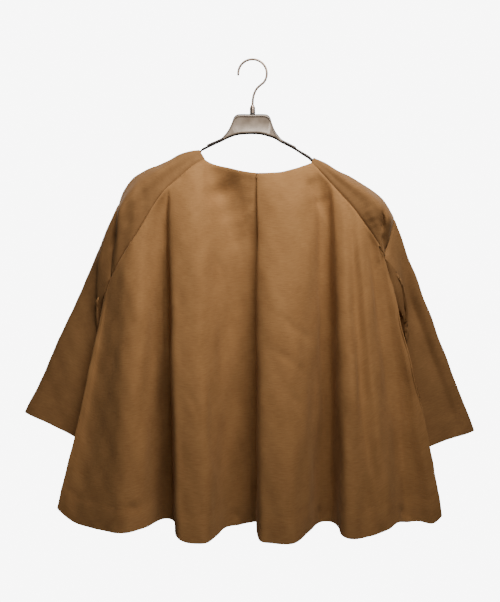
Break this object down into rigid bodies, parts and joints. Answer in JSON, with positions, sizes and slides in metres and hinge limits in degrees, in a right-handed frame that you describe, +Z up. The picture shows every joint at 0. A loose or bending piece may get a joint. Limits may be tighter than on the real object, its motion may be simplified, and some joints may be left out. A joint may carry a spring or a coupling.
{
  "type": "flare coat on hanger",
  "caption": "Short collarless flare coat of brushed wool cloth with wide three-quarter sleeves and a softly folded hem, hanging on a moulded hanger with a wire hook.",
  "frame": {"origin": "inside top of the hanger's hook, where a rail carries it", "axes": "+Z up, -Y the way the coat's back faces, +X to the right of someone who looks at the coat's back"},
  "size_m": [0.809, 0.1418, 0.825],
  "materials": {
    "wool_cloth": "brushed, matt",
    "hanger_plastic": "satin",
    "plated_steel": "bright plated"
  },
  "bodies": {
    "root": {"back_left": "wool_cloth", "back_right": "wool_cloth", "front_left": "wool_cloth", "front_right": "wool_cloth", "shoulder_left": "wool_cloth", "shoulder_right": "wool_cloth", "sleeve_left": "wool_cloth", "sleeve_right": "wool_cloth", "hanger": "hanger_plastic", "hanger_ferrule": "plated_steel", "hanger_hook": "plated_steel"}
  },
  "joints": []
}
